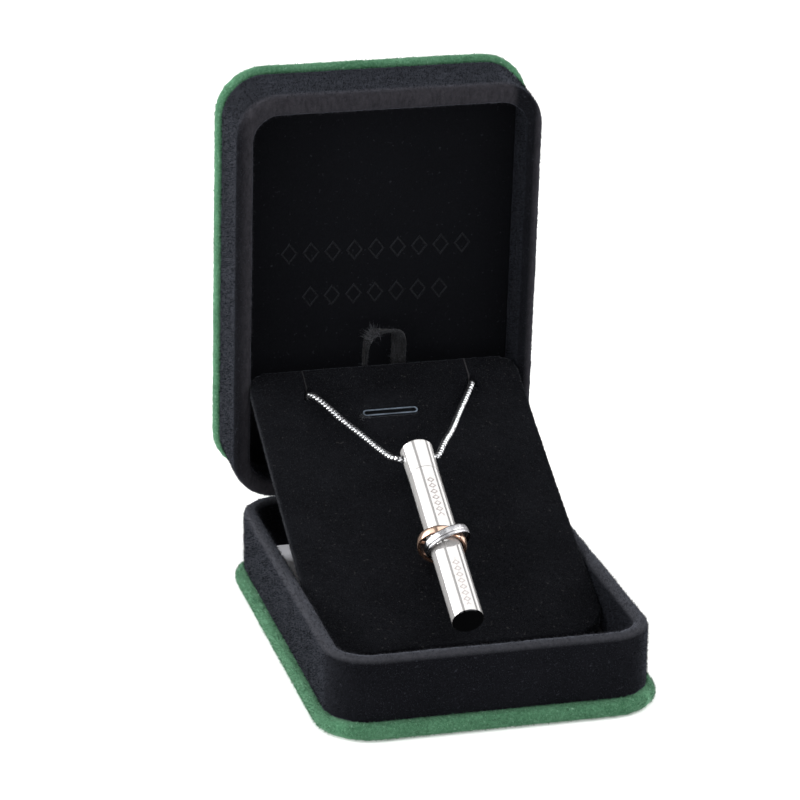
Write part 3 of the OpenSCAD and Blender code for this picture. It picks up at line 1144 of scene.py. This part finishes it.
@dataclass
class Pad:
    """The propped velvet pad with the clear edging of its slot."""

    mesh: float = 0.00045
    relief: Relief = Relief(0.00008, 0.0008, 0.00005, 0.012)
    fibres: int = 90000
    middle_z: float = 19.0
    slope: float = 0.46
    bend: float = 0.0009
    rear_y: float = 49.2
    hole_x: Span = (-17.7, 18.5)
    lip_y: float = 41.2
    lip_half: Span = (0.45, 0.7)
    lip_over: float = 0.05
    lip_reach: float = 1.15
    lip_steps: int = 16
    lip_sections: int = 9
    slot_middle: Span = (-0.001, 0.0365)
    slot_clear: float = 0.0062
    fray_middle: Span = (-0.0068, 0.0360)
    fray_reach: Span = (0.0012, 1.3)
    strays: int = 70
    lint: Velvet = Velvet(
        "slot_lint", (0.01, 0.01, 0.012), (0.03, 0.03, 0.034), (0.10, 0.105, 0.115), EVEN, 0.1,
    )

    def height(self, y: float) -> float:
        """Gives the height of the pad's face at a place y, both in millimetres."""
        return self.middle_z + self.slope * y + self.bend * y * y

    def point(self, x: float, y: float, lift: float) -> Vector:
        """Gives the point at a height off the pad's face.

        Args:
            x: place across the pad in millimetres.
            y: place up the pad.
            lift: height square to the face.

        Returns:
            The point in metres.
        """
        rise = self.slope + 2 * self.bend * y
        length = math.hypot(rise, 1)
        return mm(x, y - lift * rise / length, self.height(y) + lift / length)

    def build(self) -> list[bpy.types.Object]:
        """Builds and dresses the pad, and gives its new pieces."""
        card = Shape.skin("pad_card", "pad_cloth", self.mesh, Matrix.Identity(4))
        self.relief.ruffle(card)
        velvet = Finish.PAD.value.material(Slits())
        cloths = [card] + [self.lip(x) for x in self.hole_x]
        for cloth in cloths:
            Shape.dress(cloth, velvet, "pad_velvet")
        pad = Shape.join("pad_velvet", cloths)
        nap = Pile("pad_nap", self.fibres, 15, 0.00035, 0.00008, keep=self.shown)
        stray = Pile("slot_strays", self.strays, 19, 0.0010, 0.00009, 1.4, (0.1, 0.3), self.frayed)
        fibres = Shape.join("pad_pile", [nap.build(pad, Finish.PAD.value), stray.build(pad, self.lint)])
        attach(fibres, "insert")
        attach(pad, "insert")
        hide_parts("pad_card")
        Shape.dress_node("slot_trim", ClearPlastic().material())
        return [pad, fibres]

    def lip(self, x: float) -> bpy.types.Object:
        """Makes the soft velvet lip that closes the front of a chain hole.

        Args:
            x: the hole's place across the pad in millimetres.

        Returns:
            The lip.
        """
        turns = [2 * math.pi * k / self.lip_steps for k in range(self.lip_steps)]
        points = []
        for across in np.linspace(-1, 1, self.lip_sections):
            full = math.sqrt(max(1 - abs(across) ** 6, 0.04))
            for turn in turns:
                parts = (math.cos(turn), math.sin(turn))
                along, up = (full * math.copysign(abs(part) ** 0.6, part) for part in parts)
                y = self.lip_y + self.lip_half[0] * along
                lift = self.lip_half[1] * (up - 1) + self.lip_over
                points.append(self.point(x + across * self.lip_reach, y, lift))
        faces = Shape.tube_faces(self.lip_sections, self.lip_steps)
        return Shape.from_arrays("lip", np.array(points), faces)

    def shown(self, middle: np.ndarray, face: np.ndarray) -> np.ndarray:
        """Tells where the pad's fibres grow: on its face and its edges, and not in the slot."""
        near = np.hypot(*(middle[:, :2] - self.slot_middle).T) < self.slot_clear
        return (face[:, 2] > -0.5) & ~near

    def frayed(self, middle: np.ndarray, face: np.ndarray) -> np.ndarray:
        """Tells where stray fibres stand: round the left end of the slot."""
        x, y = (middle[:, :2] - self.fray_middle).T
        return (face[:, 2] > 0.5) & (np.hypot(x, y * self.fray_reach[1]) < self.fray_reach[0])


@dataclass
class RibbonPull:
    """Loop of black ribbon at the pad's rear edge, its right leg twisted to face the front."""

    width: float = 3.2
    thick: float = 0.55
    middle_x: float = 1.25
    half_loop: float = 4.4
    foot: float = 2.6
    front_y: float = 49.5
    line_steps: int = 70
    across_steps: int = 11
    wave: float = 0.00008
    hairs: int = 5000
    frays: int = 300
    fray_x: float = 2.6
    fray_half: float = 0.0009
    fray_z: float = 0.0484
    fluff: Velvet = Velvet(
        "ribbon_fluff", (0.003, 0.003, 0.004), (0.014, 0.0145, 0.017), (0.075, 0.077, 0.085),
        (0.8, 0.85, 1.0), 0.1,
    )

    def path(self, pad: Pad) -> list[tuple[Vector, float]]:
        """Gives the ribbon's middle line with its twist.

        Args:
            pad: the pad that it stands behind.

        Returns:
            Points in metres, each with the twist in degrees.
        """
        ground = pad.height(pad.rear_y)
        y = self.front_y + self.width / 2
        left = -self.half_loop
        rows = [
            (left, -self.foot, 0.0), (left - 0.1, 0.5, 0.0), (left + 0.1, 3.0, 2.0),
            (left + 0.6, 5.0, 4.0), (left + 1.9, 6.6, 4.0), (-0.4, 6.9, 0.0), (1.6, 6.8, -14.0),
            (2.8, 6.1, -42.0), (3.1, 4.4, -66.0), (3.05, 2.2, -74.0), (3.0, 0.2, -76.0),
            (3.0, -self.foot, -76.0),
        ]
        return [(mm(self.middle_x + x, y, ground + z), twist) for x, z, twist in rows]

    def build(self, pad: Pad) -> bpy.types.Object:
        """Builds and dresses the ribbon behind its pad."""
        knots = self.path(pad)
        line = smooth_line([k[0] for k in knots], self.line_steps)
        turn = np.interp(np.linspace(0, 1, len(line)), np.linspace(0, 1, len(knots)), [k[1] for k in knots])
        half_w, half_t = self.width / 2 * MM, self.thick / 2 * MM
        points = []
        for i, middle in enumerate(line):
            way = (line[min(i + 1, len(line) - 1)] - line[max(i - 1, 0)]).normalized()
            flat = Matrix.Rotation(math.radians(turn[i]), 3, way) @ Vector((0, 1, 0))
            flat = (flat - way * flat.dot(way)).normalized()
            face = way.cross(flat)
            for side in (1, -1):
                for k in range(self.across_steps):
                    u = (2 * k / (self.across_steps - 1) - 1) * side
                    wave = self.wave * noise.noise(Vector((i * 0.35, u * 2.0, side)))
                    edge = 1 - 0.35 * abs(u) ** 8
                    points.append(middle + flat * (u * half_w) + face * (side * half_t * edge + wave))
        faces = Shape.tube_faces(len(line), 2 * self.across_steps)
        cloth = Shape.from_arrays("ribbon_cloth", np.array(points), faces)
        Shape.dress(cloth, RibbonCloth().material(), "ribbon")
        hair = Pile("ribbon_hair", self.hairs, 17, 0.0006, 0.00005, 1.6, (0.5, 0.9))
        fray = Pile("ribbon_fray", self.frays, 18, 0.0019, 0.00012, 0.6, (0.1, 0.3), self.torn)
        hairs = [pile.build(cloth, self.fluff) for pile in (hair, fray)]
        ribbon = Shape.join("ribbon_pull", [cloth] + hairs)
        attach(ribbon, "insert")
        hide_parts("ribbon_loop")
        foot = mm(self.middle_x, self.front_y, pad.height(pad.rear_y) - self.foot)
        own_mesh(ribbon)
        return ribbon

    def torn(self, middle: np.ndarray, face: np.ndarray) -> np.ndarray:
        """Tells where the ribbon is frayed: round its upper left bend."""
        near = np.abs(middle[:, 0] - (self.middle_x - self.fray_x) * MM) < self.fray_half
        return near & (middle[:, 2] > self.fray_z) & (face[:, 2] > -0.2)


def smooth_line(knots: Sequence[Vector], count: int, between: int = 24) -> list[Vector]:
    """Runs a smooth line through points, evenly spaced.

    Args:
        knots: the points.
        count: number of points of the line.
        between: steps from one knot to the next before they are evened out.

    Returns:
        The line.
    """
    spots = np.array([list(k) for k in knots])
    ends = np.vstack([2 * spots[0] - spots[1], spots, 2 * spots[-1] - spots[-2]])
    dense = []
    for a, b, c, d in zip(ends, ends[1:], ends[2:], ends[3:]):
        for t in np.linspace(0, 1, between, endpoint=False):
            square = (2 * a - 5 * b + 4 * c - d) * t ** 2
            dense.append(0.5 * (2 * b + (c - a) * t + square + (3 * b - a - 3 * c + d) * t ** 3))
    dense = np.array(dense + [spots[-1]])
    far = np.r_[0, np.cumsum(np.linalg.norm(np.diff(dense, axis=0), axis=1))]
    want = np.linspace(0, far[-1], count)
    even = np.c_[[np.interp(want, far, dense[:, k]) for k in range(3)]].T
    return [Vector(p) for p in even]


@dataclass
class SnakeChain:
    """Round snake chain: one long woven tube that runs through the cap and under the pad."""

    diameter: float = 0.0014
    pitch: float = 0.00088
    rows_per_scale: int = 6
    sides: int = 16
    scales_round: int = 4
    dip: float = 0.42
    coarse_steps: int = 2000
    under: float = -3.1
    runs: tuple[Span, ...] = (
        (5, 30), (6.5, 33.5), (10, 35), (13.5, 33.5), (15, 30), (15, 20), (15, 8), (15, -4),
        (16.4, -7.4), (20, -9), (23.6, -7.4), (25, -4), (25, 8), (25, 20), (25, 30),
    )
    left: tuple[Point, ...] = (
        (-24.4, 35, -3.1), (-22.6, 39, -3.2), (-20, 41.6, -3.3), (-17.85, 42.4, -2.9), (-17.7, 42.6, -1.2),
        (-17.6, 42.3, 0.4), (-16.8, 41.2, 1.2), (-15, 38.6, 1.45), (-12.4, 33.9, 2.05),
        (-10, 29.5, 3.1), (-7.8, 25.2, 4.1), (-5.8, 21.3, 5.2), (-4.6, 19.9, 5.9), (-3.4, 19.26, 6.14),
    )
    right: tuple[Point, ...] = (
        (0, 19.14, 6.18), (3.4, 19.26, 6.14), (4.7, 20.2, 6), (5.7, 21.9, 5.65), (7.4, 24.5, 5),
        (9.8, 27.9, 3.95), (13, 33.4, 2.4), (16.2, 38.4, 1.4), (17.8, 41, 1.2), (18.4, 42.3, 0.4),
        (18.6, 42.6, -1.2), (18.65, 42.4, -2.9), (20.6, 41.6, -3.3), (22.9, 39, -3.2), (24.5, 35, -3.1),
    )
    start: tuple[Point, ...] = ((-5, 14, -3.3), (-5, 24, -3.1))
    end: tuple[Point, ...] = (
        (5, 20, -3.1), (5, 8, -3.1), (5, -4, -3.1), (3.5, -7.5, -3.1), (0, -9, -3.1), (-3.5, -7.5, -3.1),
        (-5, -5, -3.2), (-5, 1.9, -3.3),
    )

    def route(self) -> list[Point]:
        """Gives the chain's whole way: across and up the pad, and the height off its face."""
        out = [(-x, y, self.under) for x, y in self.runs]
        back = [(x, y, self.under) for x, y in reversed(self.runs)]
        return [*self.start, *out, *self.left, *self.right, *back, *self.end]

    def build(self, pad: Pad) -> bpy.types.Object:
        """Builds and dresses the chain on its pad."""
        knots = [pad.point(*place) for place in self.route()]
        coarse = smooth_line(knots, self.coarse_steps)
        length = sum((b - a).length for a, b in zip(coarse, coarse[1:]))
        scales = round(length / self.pitch)
        line = np.array([list(p) for p in smooth_line(knots, scales * self.rows_per_scale + 1)])
        way = np.gradient(line, axis=0)
        way /= np.linalg.norm(way, axis=1)[:, None]
        side = np.zeros_like(line)
        current = np.array([1.0, 0.0, 0.0])
        for i, t in enumerate(way):
            current = current - t * current.dot(t)
            current /= np.linalg.norm(current)
            side[i] = current
        other = np.cross(way, side)
        angle = np.arange(self.sides) * 2 * np.pi / self.sides
        step = np.arange(len(line)) / self.rows_per_scale
        zigzag = np.abs(((angle * self.scales_round / (2 * np.pi)) % 1) * 2 - 1) * 0.5
        phase = (step[:, None] + zigzag[None, :]) % 1
        valley = np.maximum(1 - np.abs(phase - 0.5) * 4, 0) ** 0.8
        radius = self.diameter / 2 * (1 - self.dip * valley)
        ring = np.cos(angle)[None, :, None] * side[:, None, :]
        ring = ring + np.sin(angle)[None, :, None] * other[:, None, :]
        points = (line[:, None, :] + radius[:, :, None] * ring).reshape(-1, 3)
        chain = Shape.from_arrays("snake_chain", points, Shape.tube_faces(len(line), self.sides))
        # The valley depth also places the painted shade between the scales.
        marks = chain.data.attributes.new(VALLEY, "FLOAT", "POINT")
        marks.data.foreach_set("value", valley.ravel())
        # The second colour is mostly the painted shade between the scales.
        steel = WovenSteel("chain_steel", (0.74, 0.75, 0.77), (0.02, 0.02, 0.024), 0.95, 0.16)
        Shape.dress(chain, steel.material(), "chain_steel")
        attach(chain, "insert")
        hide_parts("chain")
        clasp = PolishedMetal("clasp_steel", (0.80, 0.80, 0.81), (0.55, 0.55, 0.57), 0.8, 0.2)
        Shape.dress_node("chain_clasp", clasp.material())
        return chain


@dataclass(frozen=True)
class Ring:
    """One ring: its names, its place on the urn in millimetres and degrees, its groove, tacks and metal."""

    name: str
    node: str
    slot: str
    offset: Point
    swing: float
    tilt: float
    groove: float
    tacks: Span
    metal: RingMetal

    def seat(self) -> Matrix:
        """Gives the ring's place in the urn's frame."""
        return Matrix.Translation(mm(*self.offset)) @ turned("Y", self.swing) @ turned("X", self.tilt)


@dataclass
class Urn:
    """The urn's seat on the pad, its steel and its two linked rings."""

    foot: Point = (0.02, 21.4, 6.1)
    pitch: float = 65.4
    yaw: float = 0.7
    ring_radius: float = 0.0051
    band_width: float = 0.0020
    band_thick: float = 0.0006
    edge: float = 0.00015
    tack_radius: float = 0.0004
    tack_reach: float = 0.0028
    tack_nose: Span = (0.00008, 0.8)
    tack_sides: int = 20
    ring_steps: int = 240
    crown: float = 0.00009
    face_steps: int = 17
    groove_place: float = -0.42
    groove_half: float = 0.00016
    sharp_angle: float = 50.0
    # Each ring metal's edge colour is painted reflection and painted shade.
    rings: tuple[Ring, ...] = (
        Ring(
            "rose_ring", "ring_rose", "rose_gold", (-0.4, 0.61, -27.02), 14, 3.1, 0.00001, (20, 180),
            RingMetal("rose_gold", (0.95, 0.68, 0.53), (0.86, 0.57, 0.43), 0.85, 0.15, (0.28, 0.15, 0.10)),
        ),
        Ring(
            "silver_ring", "ring_silver", "silver_band",
            (0.4, -0.61, -27.33), -17.4, 15.4, 0.00009, (20, 170),
            RingMetal(
                "ring_silver", (0.74, 0.735, 0.75), (0.30, 0.30, 0.32), 1.0, 0.13, painted_low_edge=0.7, milled=1.0,
            ),
        ),
    )

    def seat(self, pad: Pad) -> Matrix:
        """Gives the urn's own frame: Z up its axis to the cap's top, Y into the pad."""
        place = Matrix.Translation(pad.point(*self.foot))
        return place @ turned("X", -self.pitch) @ turned("Y", self.yaw)

    def band(self, groove: float) -> bpy.types.Object:
        """Turns a ring's crowned band about Z, with a fine groove near one edge.

        Args:
            groove: depth of the groove.

        Returns:
            The band at its own frame's origin.
        """
        outer, half, e = self.ring_radius, self.band_width / 2, self.edge
        inner = outer - self.band_thick
        face = half - e
        cut = e * 0.3
        low = [(inner, -face), (inner + cut, cut - half), (inner + e, -half), (outer - e, -half)]
        low.append((outer - self.crown - cut, cut - half))
        outline = list(low)
        for z in np.linspace(-face, face, self.face_steps):
            in_groove = max(1 - abs(z - self.groove_place * face) / self.groove_half, 0)
            outline.append((outer - self.crown * (z / face) ** 2 - groove * in_groove, z))
        outline += [(r, -z) for r, z in reversed(low)]
        turns = np.linspace(0, 2 * np.pi, self.ring_steps, endpoint=False)
        points = [(r * math.cos(a), r * math.sin(a), z) for a in turns for r, z in outline]
        faces = Shape.tube_faces(self.ring_steps, len(outline), True)
        return Shape.from_arrays("band", np.array(points), faces)

    def tack(self, angle: float) -> bpy.types.Object:
        """Makes one tack from the band's inner wall into the tube.

        Args:
            angle: its place round the ring in degrees.

        Returns:
            The tack.
        """
        blunt, narrow = self.tack_nose
        end = self.ring_radius - self.band_thick / 2
        way = turned("Z", angle)
        sections = ((self.tack_reach, narrow), (self.tack_reach + blunt, 1), (end, 1))
        points = []
        for far, share in sections:
            for k in range(self.tack_sides):
                a = 2 * math.pi * k / self.tack_sides
                r = self.tack_radius * share
                points.append(way @ Vector((far, r * math.cos(a), r * math.sin(a))))
        return Shape.from_arrays("tack", np.array(points), Shape.tube_faces(len(sections), self.tack_sides))

    def build(self, pad: Pad) -> list[bpy.types.Object]:
        """Builds the two rings and dresses the urn on its pad, and gives the rings."""
        seat = self.seat(pad)
        made = []
        for ring in self.rings:
            parts = [self.band(ring.groove)] + [self.tack(angle) for angle in ring.tacks]
            piece = Shape.join(ring.name, parts)
            piece.modifiers.new("edges", "EDGE_SPLIT").split_angle = math.radians(self.sharp_angle)
            piece.matrix_basis = seat @ ring.seat()
            Shape.dress(piece, ring.metal.material(), ring.slot)
            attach(piece, "urn")
            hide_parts(ring.node)
            made.append(piece)
        steel = UrnSteel("urn_steel", (0.79, 0.772, 0.76), (0.73, 0.71, 0.70), 0.62, 0.03, seat=seat)
        polished = steel.material()
        Shape.dress_node("urn_tube", polished)
        Shape.dress_node("urn_cap", polished)
        return made


@dataclass(frozen=True)
class Lamp:
    """One soft square lamp: its place, side and aim in metres, and its power in watts."""

    name: str
    place: Point
    side: float
    power: float
    aim: Point = (0, 0, 0.05)

    def hang(self) -> None:
        """Hangs the lamp, out of the camera's sight."""
        light = bpy.data.lights.new(self.name, "AREA")
        light.size = self.side
        light.energy = self.power
        lamp = Shape.link(self.name, light)
        lamp.location = self.place
        lamp.rotation_mode = "QUATERNION"
        lamp.rotation_quaternion = (Vector(self.aim) - Vector(self.place)).to_track_quat("-Z", "Y")
        lamp.visible_camera = False


@dataclass
class Studio:
    """Camera, pale floor, plain light and the soft white surroundings."""

    place: Point = (-175.64, -651.92, 289.69)
    yaw: float = 14.39
    pitch: float = 19.37
    roll: float = 0.39
    focal_px: float = 3514.6
    frame_px: float = 800.0
    sensor: float = 36.0
    floor_half: float = 6.0
    floor_grey: Colour = (0.92, 0.92, 0.92)
    white: Colour = (1.0, 1.0, 1.0)
    sky: float = 1.3
    strips: tuple[Point, ...] = ((-0.294, 0.353, 0.888), (0.694, 0.544, 0.472))
    strip_half: float = 8.5
    lamps: tuple[Lamp, ...] = (
        Lamp("key", (-0.85, 0.40, 0.35), 0.6, 9.0),
        Lamp("side", (-0.9, -0.3, 0.35), 0.5, 3.0),
        Lamp("fill", (0.7, -0.1, 0.5), 0.5, 3.5),
    )

    def camera(self) -> None:
        """Makes the photograph's camera."""
        yaw, pitch, roll = (math.radians(a) for a in (self.yaw, self.pitch, self.roll))
        ahead = Vector((math.sin(yaw) * math.cos(pitch), math.cos(yaw) * math.cos(pitch), -math.sin(pitch)))
        right = Vector((math.cos(yaw), -math.sin(yaw), 0))
        up = right.cross(ahead)
        c, s = math.cos(roll), math.sin(roll)
        right, up = right * c + up * s, up * c - right * s
        lens = bpy.data.cameras.new("camera")
        lens.sensor_width = self.sensor
        lens.lens = self.focal_px / self.frame_px * self.sensor
        lens.clip_start, lens.clip_end = 0.01, 100
        camera = Shape.link("camera", lens)
        turn = Matrix((right, up, -ahead)).transposed().to_4x4()
        camera.matrix_world = Matrix.Translation(mm(*self.place)) @ turn
        bpy.context.scene.camera = camera

    def floor(self) -> None:
        """Lays the pale floor."""
        h = self.floor_half
        corners = np.array([(-h, -h, 0), (h, -h, 0), (h, h, 0), (-h, h, 0)])
        floor = Shape.from_arrays("floor", corners, [(0, 1, 2, 3)])
        floor.data.materials.append(new_material("pale_floor", lambda _: {
            "Base Color": rgba(self.floor_grey), "Roughness": 0.9, "Specular IOR Level": 0.0,
            "Emission Color": rgba(self.white), "Emission Strength": 0.2,
        }))

    def surroundings(self, axis: Vector) -> None:
        """Makes the white surroundings, with two narrow dark gaps that polished metal mirrors.

        Args:
            axis: direction that both gaps run along.
        """
        world = bpy.data.worlds.new("studio")
        bpy.context.scene.world = world
        world.use_nodes = True
        bench = Bench(world.node_tree)
        side = axis.cross(Vector((0, 0, 1))).normalized()
        top = side.cross(axis).normalized()
        sight = bench.node("ShaderNodeTexCoord").outputs["Generated"]
        kind, product = "ShaderNodeVectorMath", {"operation": "DOT_PRODUCT"}
        ways = (tuple(side), tuple(top))
        across, over = (bench.value(kind, product, {0: sight, 1: way}, "Value") for way in ways)
        angle = across.angle(over)
        light = angle * 0 + self.sky
        half = math.radians(self.strip_half)
        for strip in self.strips:
            way = Vector(strip)
            centre = math.atan2(way.dot(side), way.dot(top))
            light = light * abs(angle - centre).step(half * 0.8, half * 1.2)
        background = bench.node("ShaderNodeBackground", None, {"Color": rgba(self.white), "Strength": light})
        bench.node("ShaderNodeOutputWorld", None, {0: background.outputs[0]})

    def build(self, urn_axis: Vector) -> None:
        """Sets up the camera, floor and light, with the urn's direction for the surroundings."""
        self.camera()
        self.floor()
        self.surroundings(urn_axis)
        for lamp in self.lamps:
            lamp.hang()
        view = bpy.context.scene.view_settings
        view.view_transform = "Standard"
        view.look = "None"


def main() -> None:
    """Builds the sub-assemblies in order and reports each piece."""
    logging.basicConfig(level=logging.INFO, format="%(message)s")
    pad = Pad()
    urn = Urn()
    Studio().build(urn.seat(pad).to_3x3() @ Vector((0, 0, 1)))
    builders: list[tuple[str, Callable[[], object]]] = [
        ("base", BoxBase().build), ("lid", BoxLid().build), ("pad", pad.build),
        ("chain", lambda: SnakeChain().build(pad)), ("urn", lambda: urn.build(pad)),
        ("ribbon", lambda: RibbonPull().build(pad)),
    ]
    for title, build in builders:
        made = build()
        for piece in made if isinstance(made, list) else [made]:
            LOG.info("%s: %s, %d faces", title, piece.name, len(piece.data.polygons))


if __name__ == "__main__":
    main()
